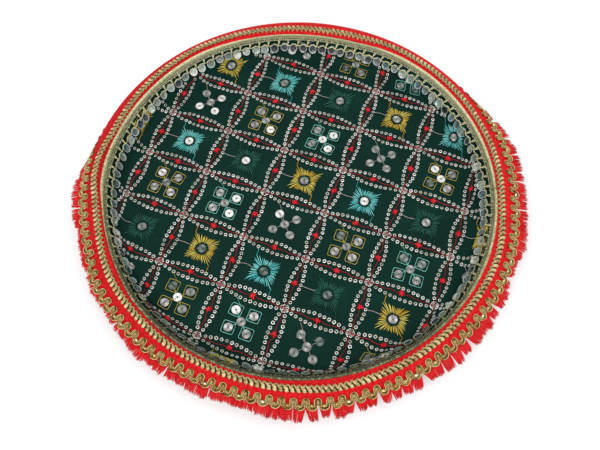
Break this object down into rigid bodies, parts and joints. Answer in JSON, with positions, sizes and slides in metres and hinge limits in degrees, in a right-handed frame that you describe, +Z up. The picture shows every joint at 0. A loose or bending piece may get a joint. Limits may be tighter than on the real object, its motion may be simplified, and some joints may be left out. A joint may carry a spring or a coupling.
{
  "type": "thali plate",
  "caption": "Round steel thali lined with sequinned, embroidered green cloth, its rim dressed with red tape, gold braids, cut fringe and a spangled lace.",
  "frame": {"origin": "centre of the flat underside of the steel thali", "axes": "+Z up out of the dish, along its axis; +X to the right and +Y away from the picture's camera"},
  "size_m": [0.3299, 0.3247, 0.0222],
  "materials": {
    "steel": "satin stainless steel",
    "green_cloth": "dark green satin cloth",
    "red_tape": "red ribbed woven tape",
    "gold_lurex": "gold lurex braid",
    "bright_gold": "bright gold metallic braid",
    "red_fringe": "red cut thread",
    "olive_lace": "olive and gold crochet",
    "pale_gold_thread": "pale gold thread",
    "clear_spangle": "clear glossy spangle",
    "silver_sequin": "mirror-like silver sequin",
    "red_thread": "red embroidery thread",
    "gold_thread": "gold embroidery thread",
    "turquoise_thread": "turquoise embroidery thread",
    "green_thread": "dark green embroidery thread"
  },
  "bodies": {
    "root": {"couching_thread": "red_thread", "embroidered_cloth": "green_cloth", "fringe": "red_fringe", "gold_frames_2_5": "gold_thread", "gold_frames_4_4": "gold_thread", "gold_frames_4_7": "gold_thread", "gold_frames_6_3": "gold_thread", "gold_frames_6_6": "gold_thread", "gold_frames_8_4": "gold_thread", "gold_frames_8_7": "gold_thread", "gold_sunburst_3_3": "gold_thread", "gold_sunburst_3_6": "gold_thread", "gold_sunburst_5_2": "gold_thread", "gold_sunburst_5_5": "gold_thread", "gold_sunburst_5_8": "gold_thread", "gold_sunburst_7_4": "gold_thread", "gold_sunburst_7_7": "gold_thread", "gold_sunburst_9_5": "gold_thread", "green_sunburst_3_5": "green_thread", "green_sunburst_5_4": "green_thread", "green_sunburst_5_7": "green_thread", "green_sunburst_7_3": "green_thread", "green_sunburst_7_6": "green_thread", "lace_header": "olive_lace", "lace_net": "pale_gold_thread", "loop_braid": "bright_gold", "rim_tape": "red_tape", "sequin_lattice": "silver_sequin", "silver_dots_2_4": "silver_sequin", "silver_dots_4_3": "silver_sequin", "silver_dots_4_6": "silver_sequin", "silver_dots_6_5": "silver_sequin", "silver_dots_6_8": "silver_sequin", "silver_dots_8_3": "silver_sequin", "silver_dots_8_6": "silver_sequin", "spangle_row": "clear_spangle", "steel_thali": "steel", "turquoise_frames_2_6": "turquoise_thread", "turquoise_frames_4_5": "turquoise_thread", "turquoise_frames_6_4": "turquoise_thread", "turquoise_frames_6_7": "turquoise_thread", "turquoise_frames_8_5": "turquoise_thread", "turquoise_sunburst_3_4": "turquoise_thread", "turquoise_sunburst_3_7": "turquoise_thread", "turquoise_sunburst_5_3": "turquoise_thread", "turquoise_sunburst_5_6": "turquoise_thread", "turquoise_sunburst_7_5": "turquoise_thread", "zigzag_braid": "gold_lurex"}
  },
  "joints": []
}
